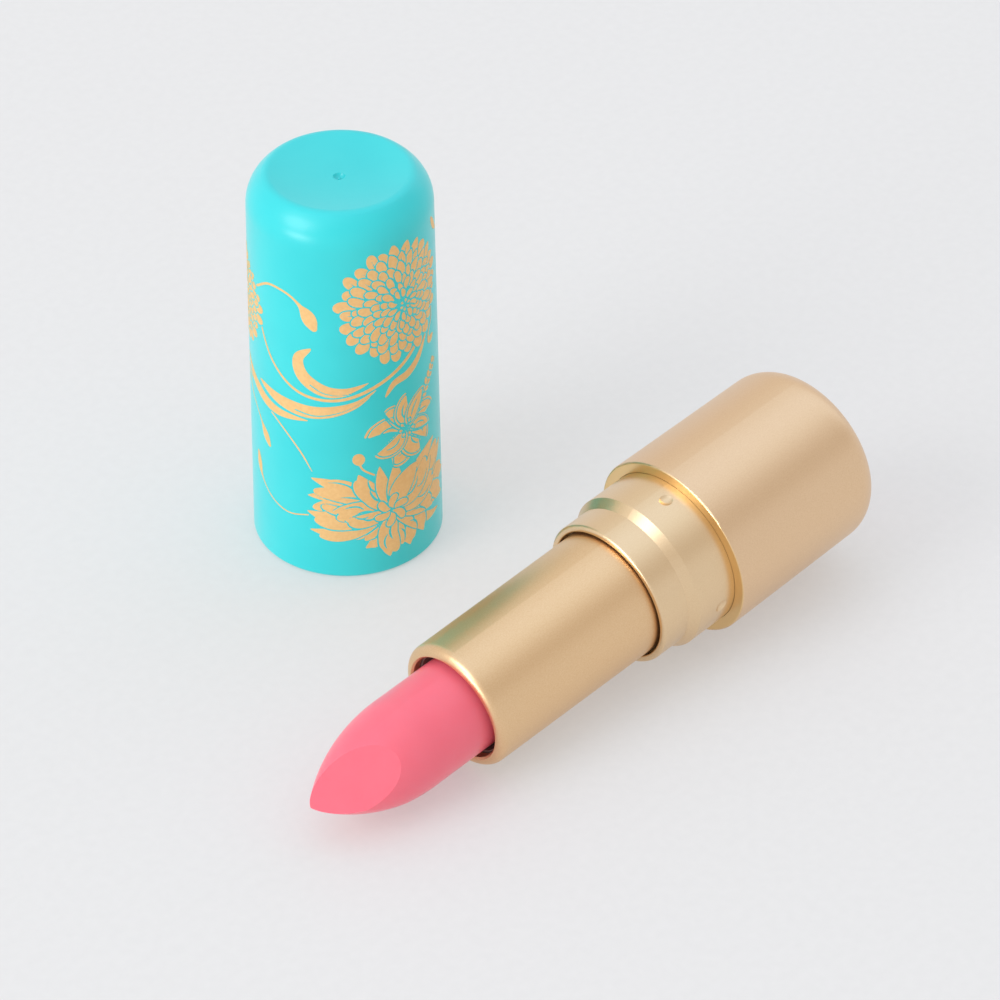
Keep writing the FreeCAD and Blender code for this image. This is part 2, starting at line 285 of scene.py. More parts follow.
@dataclass(frozen=True)
class PolishedMouthGold(SatinGold):
    """The base's aluminium, blasted outside and diamond-turned bright on its mouth face.

    The eye gets a frosted body that ends in a clear yellow ring with fine turning lines. Real ones
    are about 0.05 mm apart; these are drawn 0.26 mm apart so that they show.
    """

    name: str = "diamond_turned_anodised_aluminium"
    bright: str = "efcd95"
    bright_roughness: float = 0.28
    face_from: float = 25.2
    face_edge: float = 0.08
    frost_left: float = 0.2
    line_scale: float = 1.2
    line_waver: float = 0.4
    line_strength: float = 0.3
    line_depth: float = 0.002

    def surface(self, tree: Tree) -> dict:
        """Blend the frosted wall into the turned mouth face by its station.

        Args:
            tree: The material's node tree.

        Returns:
            Values and sockets for the Principled shader's inputs.
        """
        along, radius = case_station(tree)
        face = add(tree, "ShaderNodeMapRange", {
            "Value": along, "From Min": self.face_from, "From Max": self.face_from + self.face_edge})
        colour = add(tree, "ShaderNodeMix", {
            "Factor": face, "A": drift(tree, self.grit, self.dark, self.light, detail=3.0),
            "B": rgb(self.bright)}, data_type="RGBA")
        rough, frost, turning = (
            add(tree, "ShaderNodeMath", {0: face, 1: there - wall, 2: wall}, operation="MULTIPLY_ADD")
            for wall, there in ((self.roughness, self.bright_roughness), (1.0, self.frost_left),
                                (0.0, self.line_strength)))
        lines = add(tree, "ShaderNodeTexWave", {
            "Vector": add(tree, "ShaderNodeCombineXYZ", {"X": radius}),
            "Scale": self.line_scale, "Distortion": self.line_waver}, wave_type="BANDS")
        turned = add(tree, "ShaderNodeBump", {
            "Strength": turning, "Height": lines.outputs["Fac"], "Distance": self.line_depth * MM,
            "Normal": skin(tree, self.grit, self.depth, 3.0, frost.outputs[0])})
        return {"Base Color": colour.outputs[2], "Metallic": 1.0, "Roughness": rough.outputs[0],
                "Normal": turned.outputs["Normal"]}


@dataclass(frozen=True)
class CreamyWax(Finish):
    """Moulded lipstick wax.

    The eye gets a soft body with light just under the skin and faint flow lines.
    """

    name: str = "moulded_colour_wax"
    light: str = "f87384"
    dark: str = "f76f81"
    flow: float = 3.4
    marks: float = 0.5
    mark_depth: float = 0.003

    def surface(self, tree: Tree) -> dict:
        """Soft colour drift and small mould marks.

        Args:
            tree: The material's node tree.

        Returns:
            Values and sockets for the Principled shader's inputs.
        """
        return {"Base Color": drift(tree, self.flow, self.dark, self.light, (0.2, 0.7)),
                "Roughness": 0.28, "Normal": skin(tree, self.marks, self.mark_depth, 3.0),
                "Subsurface Weight": 0.3, "Subsurface Radius": (1.6, 0.5, 0.5),
                "Subsurface Scale": 0.5 * MM, "IOR": 1.44}


@dataclass(frozen=True)
class MouldedPlastic(Finish):
    """Injection-moulded polyacetal of the mechanism, white; its grey and tan variants are white plastic
    with painted shade.

    The eye gets a clean glossy plastic with faint flow marks.
    """

    name: str = "moulded_white_acetal"
    light: str = "efebe4"
    dark: str = "e4dfd6"
    flow: float = 3.0
    marks: float = 0.8
    mark_depth: float = 0.004

    def surface(self, tree: Tree) -> dict:
        """Even plastic with slow flow marks.

        Args:
            tree: The material's node tree.

        Returns:
            Values and sockets for the Principled shader's inputs.
        """
        return {"Base Color": drift(tree, self.flow, self.dark, self.light), "Roughness": 0.3,
                "IOR": 1.48, "Normal": skin(tree, self.marks, self.mark_depth)}


# The stick's cup and the fork that guides it are white plastic, painted grey as the shade deep in the
# case's mouth.
WHITE_PLASTIC_PAINTED_GREY_SHADE = MouldedPlastic("white_acetal_painted_grey_shade", "8e7f7b", "83746f")


@dataclass(frozen=True)
class ShadeLabel(Finish):
    """Coated paper sticker with a printed swatch of the stick's colour.

    The eye gets a pink field inside a white border with one fine ring.
    """

    name: str = "printed_paper_label"
    paper: str = "f4f1ec"
    swatch: str = "f38496"
    ring: str = "b9b2a8"
    border_r: float = 5.6
    ring_r: float = 6.1
    ring_width: float = 0.12
    edge_r: float = 6.7
    tooth: float = 0.3
    tooth_depth: float = 0.004

    def surface(self, tree: Tree) -> dict:
        """Rings by the distance from the case's axis.

        Args:
            tree: The material's node tree.

        Returns:
            Values and sockets for the Principled shader's inputs.
        """
        share = add(tree, "ShaderNodeMath", {0: case_station(tree)[1], 1: self.edge_r}, operation="DIVIDE")
        prints = add(tree, "ShaderNodeValToRGB", {"Fac": share}, [
            (radius / self.edge_r, rgb(colour)) for radius, colour in (
                (0.0, self.swatch), (self.border_r, self.paper), (self.ring_r, self.ring),
                (self.ring_r + self.ring_width, self.paper))])
        prints.color_ramp.interpolation = "CONSTANT"
        return {"Base Color": prints.outputs["Color"], "Roughness": 0.42,
                "Normal": skin(tree, self.tooth, self.tooth_depth, 4.0)}


@dataclass(frozen=True)
class SoftRubber(Finish):
    """Nitrile rubber of the drag ring.

    The eye gets a matt near-black with a dusty bloom.
    """

    name: str = "moulded_nitrile_rubber"
    light: str = "2f2f31"
    dark: str = "232325"
    dust: float = 0.6
    tooth: float = 0.2
    tooth_depth: float = 0.004

    def surface(self, tree: Tree) -> dict:
        """Dark and dusty.

        Args:
            tree: The material's node tree.

        Returns:
            Values and sockets for the Principled shader's inputs.
        """
        return {"Base Color": drift(tree, self.dust, self.dark, self.light), "Roughness": 0.65,
                "Normal": skin(tree, self.tooth, self.tooth_depth)}


@dataclass(frozen=True)
class StudioPaper(Finish):
    """Pale seamless paper under the object, lit a little through from below.

    The eye gets an even light grey with hardly any tooth.
    """

    name: str = "seamless_studio_paper"
    light: str = "b5b3b1"
    dark: str = "b2b0ae"
    glow: str = "e9e9ea"
    glow_strength: float = 0.43
    clouds: float = 1.4
    tooth: float = 0.5
    tooth_depth: float = 0.004

    def surface(self, tree: Tree) -> dict:
        """Matt paper with a faint tooth.

        Args:
            tree: The material's node tree.

        Returns:
            Values and sockets for the Principled shader's inputs.
        """
        return {"Base Color": drift(tree, self.clouds, self.dark, self.light, detail=4.0),
                "Roughness": 0.9, "Specular IOR Level": 0.0,
                "Emission Color": rgb(self.glow), "Emission Strength": self.glow_strength,
                "Normal": skin(tree, self.tooth, self.tooth_depth)}


def run_tree(piece: bpy.types.Object, tree: bpy.types.GeometryNodeTree,
             sizes: dict) -> None:
    """Run a geometry node tree on a piece and keep the result as its plain mesh.

    Args:
        piece: The object whose mesh the tree starts from.
        tree: The geometry node tree.
        sizes: Input name to value, in metres and radians.
    """
    modifier = piece.modifiers.new("shape", "NODES")
    modifier.node_group = tree
    for socket in tree.interface.items_tree:
        if socket.in_out == "INPUT" and socket.name in sizes:
            modifier[socket.identifier] = sizes[socket.name]
    depsgraph = bpy.context.evaluated_depsgraph_get()
    made = bpy.data.meshes.new_from_object(piece.evaluated_get(depsgraph))
    piece.modifiers.remove(modifier)
    start, piece.data = piece.data, made
    bpy.data.meshes.remove(start)
    made.name = piece.name


class Line(Enum):
    """How a printed line swells from its start to its end."""

    STEM = "stem"
    TENDRIL = "tendril"
    LEAF = "leaf"
    PETAL = "petal"
    DROP = "drop"

    def swell(self, along: np.ndarray) -> np.ndarray:
        """Share of the full half width at each place along the line.

        Args:
            along: Places from 0 at the start to 1 at the end.

        Returns:
            The share of the full half width, from 0 to 1.
        """
        if self is Line.STEM:
            return np.minimum(1, 0.4 + 8 * along) * np.minimum(1, 0.4 + 5 * (1 - along))
        if self is Line.TENDRIL:
            return 1 - 0.6 * along
        if self is Line.LEAF:
            return np.sin(math.pi * along ** 0.8) ** 0.85
        if self is Line.PETAL:
            widening = 0.22 + 0.78 * np.sin(math.pi / 2 * np.minimum(along / 0.68, 1)) ** 1.3
            rounding = np.sqrt(np.clip(1 - (np.maximum(along - 0.68, 0) / 0.33) ** 2.4, 0, 1))
            return widening * rounding
        return 0.16 + 0.84 * np.exp(-((along - 0.88) / 0.12) ** 2)


def through(points: Sequence[Point], steps: int) -> np.ndarray:
    """Smooth line through the given points.

    Args:
        points: Places that the line passes, in order.
        steps: Number of points in each span.

    Returns:
        The line's points, one row each.
    """
    knots = np.array(points, float)
    knots = np.vstack([2 * knots[0] - knots[1], knots, 2 * knots[-1] - knots[-2]])
    t = np.linspace(0, 1, steps, endpoint=False)[:, None]
    spans = []
    for a, b, c, d in zip(knots, knots[1:], knots[2:], knots[3:]):
        spans.append(0.5 * (2 * b + (c - a) * t + (2 * a - 5 * b + 4 * c - d) * t ** 2
                            + (3 * b - a - 3 * c + d) * t ** 3))
    return np.vstack([*spans, knots[-2]])


@dataclass
class Artwork:
    """A printed drawing, unrolled flat: u runs round the cap and v up it, in millimetres.

    Ink shows where the field is above zero. A later shape covers the earlier ones and keeps a
    narrow bare line around itself, as in an engraving.
    """

    half_width: float = 18.62
    foot: float = 0.9
    top: float = 48.2
    cell: float = 0.13
    gap: float = 0.2
    margin: float = 0.8
    vein: float = 0.11
    far_outside: float = -9.0

    def __post_init__(self) -> None:
        """Start with a bare field."""
        self.u = np.arange(-self.half_width, self.half_width + self.cell / 2, self.cell)
        self.v = np.arange(self.foot, self.top, self.cell)
        self.ink = np.full((len(self.v), len(self.u)), -1.0)

    def shape(self, points: Sequence[Point], half: float,
              line: Line) -> tuple[tuple[slice, slice], np.ndarray]:
        """Depth inside one swelling line, in the window around it.

        Args:
            points: Places that the line's middle passes.
            half: Full half width.
            line: How the line swells.

        Returns:
            The window of the field, and the depth there, below zero outside the line.
        """
        path = through(points, 12 if len(points) > 2 else 9)
        run = np.r_[0, np.cumsum(np.linalg.norm(np.diff(path, axis=0), axis=1))]
        width = half * line.swell(run / run[-1])
        low, high = path.min(0) - half - self.margin, path.max(0) + half + self.margin
        columns = slice(*np.searchsorted(self.u, (low[0], high[0])))
        rows = slice(*np.searchsorted(self.v, (low[1], high[1])))
        spots = np.stack(np.meshgrid(self.u[columns], self.v[rows]), -1)
        depth = np.full(spots.shape[:2], self.far_outside)
        for a, b, wide, next_wide in zip(path, path[1:], width, width[1:]):
            step = b - a
            share = np.clip((spots - a) @ step / max(step @ step, 1e-9), 0, 1)
            away = np.linalg.norm(spots - a - share[..., None] * step, axis=-1)
            depth = np.maximum(depth, wide + (next_wide - wide) * share - away)
        return (rows, columns), depth

    def draw(self, points: Sequence[Point], half: float, line: Line,
             joined: bool = False) -> None:
        """Print one line over what is there.

        Args:
            points: Places that the line's middle passes.
            half: Full half width.
            line: How the line swells.
            joined: Whether it runs into the ink that it meets, with no bare line between.
        """
        window, depth = self.shape(points, half, line)
        ink = self.ink[window]
        if not joined:
            ink = np.minimum(ink, -(depth + self.gap))
        self.ink[window] = np.maximum(ink, depth)

    def scratch(self, points: Sequence[Point], half: float = 0.1,
                line: Line = Line.TENDRIL) -> None:
        """Leave one line bare, such as a vein.

        Args:
            points: Places that the line's middle passes.
            half: Full half width.
            line: How the line swells.
        """
        window, depth = self.shape(points, half, line)
        self.ink[window] = np.minimum(self.ink[window], -depth)

    def fan(self, centre: Point, aim: float, length: float, half: float,
            bend: float = 0.0, line: Line = Line.PETAL, start: float = 0.0, veins: int = 0,
            joined: bool = False, bare: bool = False) -> None:
        """Print one petal that leaves a flower's centre.

        Args:
            centre: The flower's centre.
            aim: Direction of the petal, in degrees from +u.
            length: Distance of its tip from the centre.
            half: Half width at its widest.
            bend: Sideways swing of its middle.
            line: Kind of outline.
            start: Distance of its foot from the centre.
            veins: Number of bare lines along it.
            joined: Whether it runs into the ink that it meets.
            bare: Whether it is scratched out of the ink instead.
        """
        out = np.array([math.cos(math.radians(aim)), math.sin(math.radians(aim))])
        side = np.array([-out[1], out[0]])

        def at(along: float, across: float) -> Point:
            """Find a place on the petal.

            Args:
                along: Share of the way from its foot to its tip.
                across: Distance to the left of its middle.

            Returns:
                The place in the drawing.
            """
            reach = start + (length - start) * along
            swing = bend * math.sin(math.pi * along) * 0.8 - bend * along ** 2
            return tuple(np.array(centre) + out * reach + side * (swing + across))

        middle = [at(0, 0), at(0.35, 0), at(0.7, 0), at(1 - 0.5 * half / length, 0)]
        if bare:
            self.scratch(middle, half, line)
        else:
            self.draw(middle, half, line, joined)
        for index in range(veins):
            across = half * 0.9 * ((index + 1) / (veins + 1) * 2 - 1)
            self.scratch([at(0.12, across * 0.25), at(0.45, across * 0.7),
                          at(0.74 - 0.1 * abs(across), across * 0.62)], self.vein)

    def faces(self) -> tuple[np.ndarray, list[tuple[int, ...]]]:
        """Outline the inked cells as flat faces that share their corners.

        Returns:
            Corner places in millimetres, and the faces as corner numbers, counter-clockwise.
        """
        ink = self.ink
        rows, columns = ink.shape
        inside = ink > 0
        grid_v, grid_u = np.meshgrid(self.v, self.u, indexing="ij")
        nearest = 0.06  # share of a cell that stays between an edge and a corner: no slivers
        share_u = np.clip(ink[:, :-1] / (ink[:, :-1] - ink[:, 1:] + 1e-12), nearest, 1 - nearest)
        share_v = np.clip(ink[:-1] / (ink[:-1] - ink[1:] + 1e-12), nearest, 1 - nearest)
        places = np.concatenate([
            np.stack([grid_u, grid_v], -1).reshape(-1, 2),
            np.stack([grid_u[:, :-1] + share_u * self.cell, grid_v[:, :-1]], -1).reshape(-1, 2),
            np.stack([grid_u[:-1], grid_v[:-1] + share_v * self.cell], -1).reshape(-1, 2)])
        nodes = np.arange(rows * columns).reshape(rows, columns)
        level = rows * columns + np.arange(rows * (columns - 1)).reshape(rows, columns - 1)
        upright = (rows * columns + rows * (columns - 1)
                   + np.arange((rows - 1) * columns).reshape(rows - 1, columns))
        walk = np.stack([nodes[:-1, :-1], level[:-1], nodes[:-1, 1:], upright[:, 1:],
                         nodes[1:, 1:], level[1:], nodes[1:, :-1], upright[:, :-1]], -1)
        corners = np.stack([inside[:-1, :-1], inside[:-1, 1:], inside[1:, 1:], inside[1:, :-1]], -1)
        crossed = corners != np.roll(corners, -1, axis=-1)
        used = np.stack([corners, crossed], -1).reshape(*corners.shape[:2], 8)
        faces = [tuple(w[k]) for w, k in zip(walk[used.any(-1)], used[used.any(-1)])]
        kept = np.unique(np.concatenate([np.array(face) for face in faces]))
        renumber = np.zeros(len(places), int)
        renumber[kept] = np.arange(len(kept))
        return places[kept], [tuple(int(renumber[n]) for n in face) for face in faces]


# Rings of the full bloom: shares of its size for the ring's reach and the petals' length, the
# number of petals, and the share for their half width.
BLOOM_RINGS = ((1.0, 0.36, 27, 0.098), (0.84, 0.34, 27, 0.083), (0.69, 0.30, 24, 0.072),
               (0.545, 0.26, 20, 0.062), (0.41, 0.21, 15, 0.052), (0.28, 0.15, 10, 0.040))

# Petals of the open flower, those that lie behind first: aim in degrees, length, half width,
# bend and number of lobes.
OPEN_PETALS = (
    (2, 12.6, 1.5, 0.9, 2), (24, 12.4, 1.5, -0.6, 2), (44, 11.4, 1.4, 0.5, 1),
    (-14, 11.8, 1.5, 0.8, 2), (206, 8.6, 1.0, 0.8, 1), (-32, 10.4, 0.9, -1.2, 1),
    (196, 11.4, 1.0, 0.9, 3), (160, 11.8, 1.25, -1.3, 3), (180, 11.6, 1.3, 0.6, 3),
    (148, 12.4, 1.3, -0.9, 3), (170, 8.2, 1.25, -0.6, 2), (126, 8.4, 1.35, 0.5, 2),
    (238, 6.6, 1.0, 0.7, 3), (-66, 7.6, 1.4, 0.5, 3), (-96, 7.6, 1.3, -0.5, 3),
    (-44, 8.2, 1.4, 0.9, 2), (-20, 8.4, 1.3, 0.5, 2), (6, 8.8, 1.3, -0.6, 2),
    (30, 9.0, 1.3, -0.9, 2), (104, 7.8, 0.95, 0.3, 1), (84, 7.6, 1.1, -0.3, 1),
    (186, 6.6, 1.0, 0.5, 2), (56, 7.6, 1.55, 0.7, 1))

# Petals of the lily, in the same order: aim in degrees, length, half width and bend.
LILY_PETALS = ((250, 6.2, 1.9, 0.9), (292, 5.8, 1.6, -0.8), (214, 6.0, 1.3, 0.9),
               (322, 5.6, 1.3, 0.9), (168, 6.6, 1.25, -1.5), (128, 5.6, 1.5, -0.9),
               (96, 5.8, 1.2, 0.8), (18, 6.0, 1.35, 0.9), (345, 5.0, 1.0, 0.5), (58, 6.2, 1.2, 0.4))

# Lobes of a ruffled petal: turn in degrees, and shares of its length and half width.
LOBES = ((0, 1.0, 1.0, Line.LEAF), (7, 0.88, 0.72, Line.PETAL), (-7, 0.8, 0.66, Line.PETAL))


@dataclass
class CapPrint:
    """Gold flowers and scrolls, hot-stamped round the cap.

    A full bloom on a sweeping stem, long scroll leaves, and an open flower with a lily above it.
    """

    rim_radius: float = 11.89
    draft: float = 0.013
    sink: float = 0.05
    film: float = 0.068
    weld: float = 0.0005
    facing: float = 225.8

    def bloom(self, art: Artwork, centre: Point, size: float, seed: int,
              rings: int = 6) -> None:
        """Print a full round flower of many narrow petals.

        Args:
            art: The drawing.
            centre: The flower's middle.
            size: Its outer radius.
            seed: Seed of its small irregularities.
            rings: Rings of petals.
        """
        chance = np.random.default_rng(seed)
        for ring, (reach, length, count, half) in enumerate(BLOOM_RINGS[:rings]):
            lean = size * 0.13 * (1 - reach)
            middle = (centre[0] + lean, centre[1] - lean)
            for index in range(count):
                aim = 360 * (index + 0.5 * (ring % 2) + chance.uniform(-0.16, 0.16)) / count
                tip = size * reach * chance.uniform(0.9, 1.06)
                pointed = 15 < aim < 100 and chance.random() < 0.7
                art.fan(middle, aim, tip, size * half * chance.uniform(0.85, 1.08),
                        bend=size * chance.uniform(-0.03, 0.03),
                        line=Line.LEAF if pointed else Line.PETAL,
                        start=tip - size * length, veins=int(ring < 2 and chance.random() < 0.3))
        heart = (centre[0] + size * 0.12, centre[1] - size * 0.12)
        for index in range(6):
            art.fan(heart, 60 * index + 20, size * 0.1, size * 0.022, line=Line.DROP)

    def scrolls(self, art: Artwork) -> None:
        """Print the sweeping stem, the long leaves and the tendrils.

        Args:
            art: The drawing.
        """
        art.draw([(-16.6, 25.6), (-12.4, 24.0), (-8.4, 21.6), (-5.6, 18.8), (-3.9, 16.0)], 0.11, Line.STEM)
        art.draw([(-17.2, 25.6), (-15.0, 22.8), (-12.6, 20.4), (-10.6, 17.3)], 0.62, Line.DROP)
        art.draw([(-17.0, 27.6), (-13.6, 25.2), (-9.6, 23.5), (-4.0, 23.6)], 0.72, Line.LEAF)
        art.draw([(-12.4, 26.4), (-8.4, 25.3), (-3.4, 25.0), (1.4, 26.2), (4.6, 28.2)], 0.92, Line.LEAF)
        art.scratch([(-6.0, 24.75), (-3.0, 24.55), (0.8, 25.7), (4.0, 27.6)], 0.1)
        art.draw([(-3.6, 34.4), (-5.4, 32.6), (-4.9, 30.2), (-2.4, 28.5), (0.4, 28.3), (3.6, 29.4)],
                 0.92, Line.LEAF)
        art.scratch([(-3.9, 29.0), (-2.0, 28.0), (0.6, 27.95), (3.0, 28.9)], 0.09)
        art.draw([(14.2, 38.4), (12.6, 34.6), (9.2, 31.2), (4.6, 28.7), (-0.6, 27.1), (-5.6, 27.6),
                  (-9.4, 30.4), (-11.6, 34.4), (-12.4, 38.0)], 0.3, Line.TENDRIL)
        art.draw([(5.6, 26.6), (7.0, 28.3), (9.2, 28.9), (11.2, 30.4), (13.2, 33.4)], 0.55, Line.LEAF)
        art.draw([(14.6, 36.0), (14.5, 34.0), (13.6, 32.4), (13.8, 31.2), (14.8, 31.4)], 0.5, Line.DROP)
        art.draw([(-12.6, 39.9), (-9.8, 41.6), (-6.6, 41.4), (-4.4, 39.6), (-3.2, 37.4)], 0.98, Line.DROP)
        art.draw([(-4.6, 9.2), (-7.6, 8.6), (-10.6, 9.6), (-12.7, 11.8), (-13.4, 14.6)], 0.56, Line.DROP)
        art.draw([(15.4, 48.0), (16.6, 46.2), (17.9, 45.0)], 0.5, Line.LEAF)

    def open_flower(self, art: Artwork, centre: Point) -> None:
        """Print the large open flower low on the cap, its long side petals swept to the left.

        Args:
            art: The drawing.
            centre: The flower's middle.
        """
        for aim, length, half, bend, lobes in OPEN_PETALS:
            for spread, bare in ((art.gap, True), (0.0, False)):
                for turn, reach, width, line in LOBES[:lobes]:
                    art.fan(centre, aim + turn, length * reach + spread, half * width + spread, bend,
                            line, start=0.7, joined=True, bare=bare)
            if lobes > 1:
                art.fan(centre, aim + 3, length * 0.62, 0.16, bend * 0.8, Line.LEAF, start=2.2,
                        joined=True, bare=True)
                art.fan(centre, aim - 5, length * 0.8, 0.13, bend, Line.LEAF, start=length * 0.45,
                        joined=True, bare=True)
        for aim in range(20, 380, 60):
            art.fan(centre, aim, 2.4, 0.5, 0.4, Line.PETAL, start=0.2)

    def lily(self, art: Artwork, centre: Point) -> None:
        """Print the lily with its scaly spike.

        Args:
            art: The drawing.
            centre: The flower's middle.
        """
        x, y = centre
        for row in range(7):
            for side in (-1, 1):
                foot = (x + 2.0 + 0.62 * row, y + 2.2 + 0.72 * row)
                art.fan(foot, 49 + side * 38, 1.35 - 0.09 * row, 0.36, line=Line.PETAL)
        for aim, length, half, bend in LILY_PETALS:
            art.fan(centre, aim, length, half, bend, Line.LEAF, start=0.4)
            art.fan(centre, aim, length * 0.9, half * 0.74, bend * 0.9, Line.LEAF, start=0.8)
            art.fan(centre, aim + 4, length * 0.7, 0.13, bend * 0.7, Line.LEAF, start=1.4, bare=True)
        for aim in (70, 140, 185, 235, 290, 340):
            art.fan(centre, aim, 1.3, 0.2, line=Line.DROP)
        art.draw([(x - 4.9, y - 5.4), (x - 6.4, y - 4.2), (x - 6.9, y - 2.3)], 0.8, Line.DROP)

    def drawing(self) -> Artwork:
        """Draw one side of the cap, the parts that lie behind first.

        Returns:
            The finished drawing.
        """
        art = Artwork()
        self.scrolls(art)
        self.bloom(art, (-18.68, 36.6), 7.0, 5, rings=5)
        self.bloom(art, (8.0, 40.0), 8.3, 3)
        self.open_flower(art, (6.2, 9.4))
        self.lily(art, (8.8, 20.9))
        return art

    def wrap_tree(self) -> bpy.types.GeometryNodeTree:
        """Build the tree that wraps a flat drawing on the drafted cap and thickens it to a film.

        Returns:
            The geometry node tree.
        """
        tree = bpy.data.node_groups.new("wrap_film_on_cap", "GeometryNodeTree")
        for name, kind in (("Geometry", "Geometry"), ("Rim Radius", "Float"), ("Draft", "Float"),
                           ("Facing", "Float"), ("Sink", "Float"), ("Film", "Float"),
                           ("Finish", "Material")):
            tree.interface.new_socket(name, in_out="INPUT", socket_type="NodeSocket" + kind)
        tree.interface.new_socket("Geometry", in_out="OUTPUT", socket_type="NodeSocketGeometry")
        given = add(tree, "NodeGroupInput").outputs
        flat = add(tree, "ShaderNodeSeparateXYZ", {0: add(tree, "GeometryNodeInputPosition")}).outputs
        swept = add(tree, "ShaderNodeMath", {0: flat["X"], 1: given["Rim Radius"]}, operation="DIVIDE")
        turn = add(tree, "ShaderNodeMath", {0: given["Facing"], 1: swept}, operation="ADD")
        narrowing = add(tree, "ShaderNodeMath", {0: given["Draft"], 1: flat["Y"]}, operation="MULTIPLY")
        wall = add(tree, "ShaderNodeMath", {0: given["Rim Radius"], 1: narrowing}, operation="SUBTRACT")
        radius = add(tree, "ShaderNodeMath", {0: wall, 1: given["Sink"]}, operation="SUBTRACT")
        x, y = (
            add(tree, "ShaderNodeMath", {
                0: radius, 1: add(tree, "ShaderNodeMath", {0: turn}, operation=part)}, operation="MULTIPLY")
            for part in ("COSINE", "SINE"))
        wrapped = add(tree, "ShaderNodeCombineXYZ", {"X": x, "Y": y, "Z": flat["Y"]})
        sheet = add(tree, "GeometryNodeSetPosition", {"Geometry": given["Geometry"], "Position": wrapped})
        raised = add(tree, "GeometryNodeExtrudeMesh", {
            "Mesh": sheet, "Offset Scale": given["Film"], "Individual": False}, mode="FACES")
        back = add(tree, "GeometryNodeFlipFaces", {"Mesh": sheet})
        film = add(tree, "GeometryNodeJoinGeometry", {"Geometry": back})
        tree.links.new(raised.outputs["Mesh"], film.inputs["Geometry"])
        closed = add(tree, "GeometryNodeMergeByDistance", {"Geometry": film, "Distance": self.weld * MM})
        real = add(tree, "GeometryNodeRealizeInstances", {"Geometry": closed})
        dressed = add(tree, "GeometryNodeSetMaterial", {"Geometry": real, "Material": given["Finish"]})
        add(tree, "NodeGroupOutput", {"Geometry": dressed})
        return tree

    def build(self) -> None:
        """Print the drawing on the front, and turned left to right on the back."""
        art = self.drawing()
        tree = self.wrap_tree()
        for name, turned, half_turn in (("foil_front", False, 0.0), ("foil_back", True, 180.0)):
            if turned:
                art.ink = art.ink[:, ::-1]
            places, faces = art.faces()
            flat = bpy.data.meshes.new(name + "_flat")
            flat.from_pydata([(u * MM, v * MM, 0.0) for u, v in places], [], faces)
            piece = bpy.data.objects.new(name, flat)
            bpy.context.scene.collection.objects.link(piece)
            sizes = {"Rim Radius": self.rim_radius * MM, "Draft": self.draft,
                     "Facing": math.radians(self.facing + half_turn), "Sink": self.sink * MM,
                     "Film": self.film * MM, "Finish": StampedFoil().material()}
            run_tree(piece, tree, sizes)
            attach(piece, "cap")
            LOG.info("printed %s with %d faces", name, len(piece.data.polygons))


class SubAssembly:
    """Pieces that are made together and move together."""

    def finishes(self) -> dict[str, Finish]:
        """Choose the finishes.

        Returns:
            Each CAD node's name and the finish that it takes.
        """
        raise NotImplementedError

    def build(self) -> None:
        """Dress each CAD node in its finish."""
        for node, finish in self.finishes().items():
            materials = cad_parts[node].data.materials
            materials.clear()
            materials.append(finish.material())
            LOG.info("dressed %s in %s", node, finish.name)


@dataclass
class Base(SubAssembly):
    """Thick gold base, its shade label, the plug behind that and the core that grips the collar."""

    mouth_station: float = 25.2
    label_radius: float = 6.7

    def finishes(self) -> dict[str, Finish]:
        """Frosted gold with a bright mouth, over white plastic.

        Returns:
            Each CAD node's name and the finish that it takes.
        """
        return {"base_shell": PolishedMouthGold(face_from=self.mouth_station),
                "base_label": ShadeLabel(edge_r=self.label_radius),
                "base_plug": MouldedPlastic(), "base_core": MouldedPlastic()}


@dataclass
class Collar(SubAssembly):
    """Stepped collar on its core, the fork that guides the stick and the rubber drag ring."""

    grit: float = 0.14
    pit_depth: float = 0.0018

    def finishes(self) -> dict[str, Finish]:
        """A smoother gold than the base's, over white plastic painted tan and grey as the shade in the
        collar's gap.

        Returns:
            Each CAD node's name and the finish that it takes.
        """
        sleeve = SatinGold(name="satin_anodised_collar", light="ecd0a9", dark="e6c89f",
                           roughness=0.3, grit=self.grit, depth=self.pit_depth)
        return {"collar_sleeve": sleeve,
                # The core is white plastic. Its dark tan is painted shade in the collar's gap, with a
                # painted warm reflection of the gold.
                "collar_core": MouldedPlastic("white_acetal_painted_tan_shade", "8f744f", "84693f"),
                # The fork is white plastic painted grey: painted shade deep in the mouth.
                "inner_fork": WHITE_PLASTIC_PAINTED_GREY_SHADE, "friction_ring": SoftRubber()}


@dataclass
class TurningTube(SubAssembly):
    """Slim gold tube with the spiral cam inside it."""

    roughness: float = 0.36

    def finishes(self) -> dict[str, Finish]:
        """Frosted gold over white plastic.

        Returns:
            Each CAD node's name and the finish that it takes.
        """
        tube = SatinGold(name="satin_anodised_tube", light="ecca9f", dark="e5c093",
                         roughness=self.roughness)
        return {"tube_shell": tube, "cam_tube": MouldedPlastic()}


@dataclass
class ColourStick(SubAssembly):
    """Wax stick in the cup that carries it."""

    flow: float = 3.4

    def finishes(self) -> dict[str, Finish]:
        """Wax in a white plastic cup, painted grey as the shade inside the tube."""
        return {"bullet": CreamyWax(flow=self.flow), "carrier_cup": WHITE_PLASTIC_PAINTED_GREY_SHADE}


@dataclass
class Cap(SubAssembly):
    """Turquoise cap with its printed flowers and the sleeve that grips the collar."""

    foil: CapPrint = field(default_factory=CapPrint)

    def finishes(self) -> dict[str, Finish]:
        """Satin turquoise outside, white plastic inside."""
        return {"cap_shell": SatinCapCoating(), "cap_grip": MouldedPlastic()}

    def build(self) -> None:
        """Dress the cap and print it."""
        super().build()
        self.foil.build()


